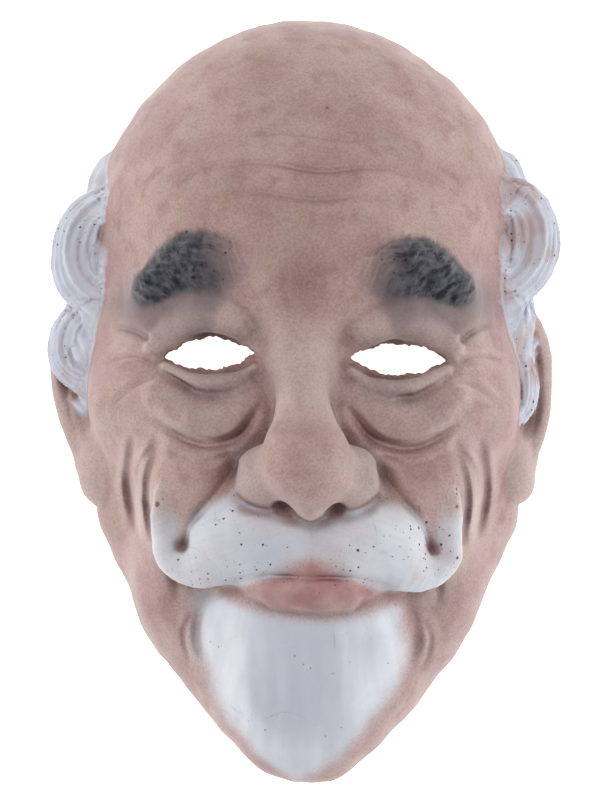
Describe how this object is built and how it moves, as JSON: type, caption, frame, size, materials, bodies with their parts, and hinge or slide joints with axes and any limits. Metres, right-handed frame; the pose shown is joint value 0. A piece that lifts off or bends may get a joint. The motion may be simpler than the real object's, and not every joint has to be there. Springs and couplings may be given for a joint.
{
  "type": "latex old man mask",
  "caption": "Hollow latex face mask of a bald old man with white side hair, dark brows, moustache and pointed goatee, with cut eye holes; lies face up on its rim.",
  "frame": {"origin": "on the ground under the middle of the mask, in the plane of its open back rim", "axes": "+Z is where the face looks, up as it lies; +Y runs towards the crown; +X is to the right as the face is seen"},
  "size_m": [0.2104, 0.3116, 0.1366],
  "materials": {
    "painted_latex": "matte, airbrushed"
  },
  "bodies": {
    "root": {"latex_mask": "painted_latex"}
  },
  "joints": []
}
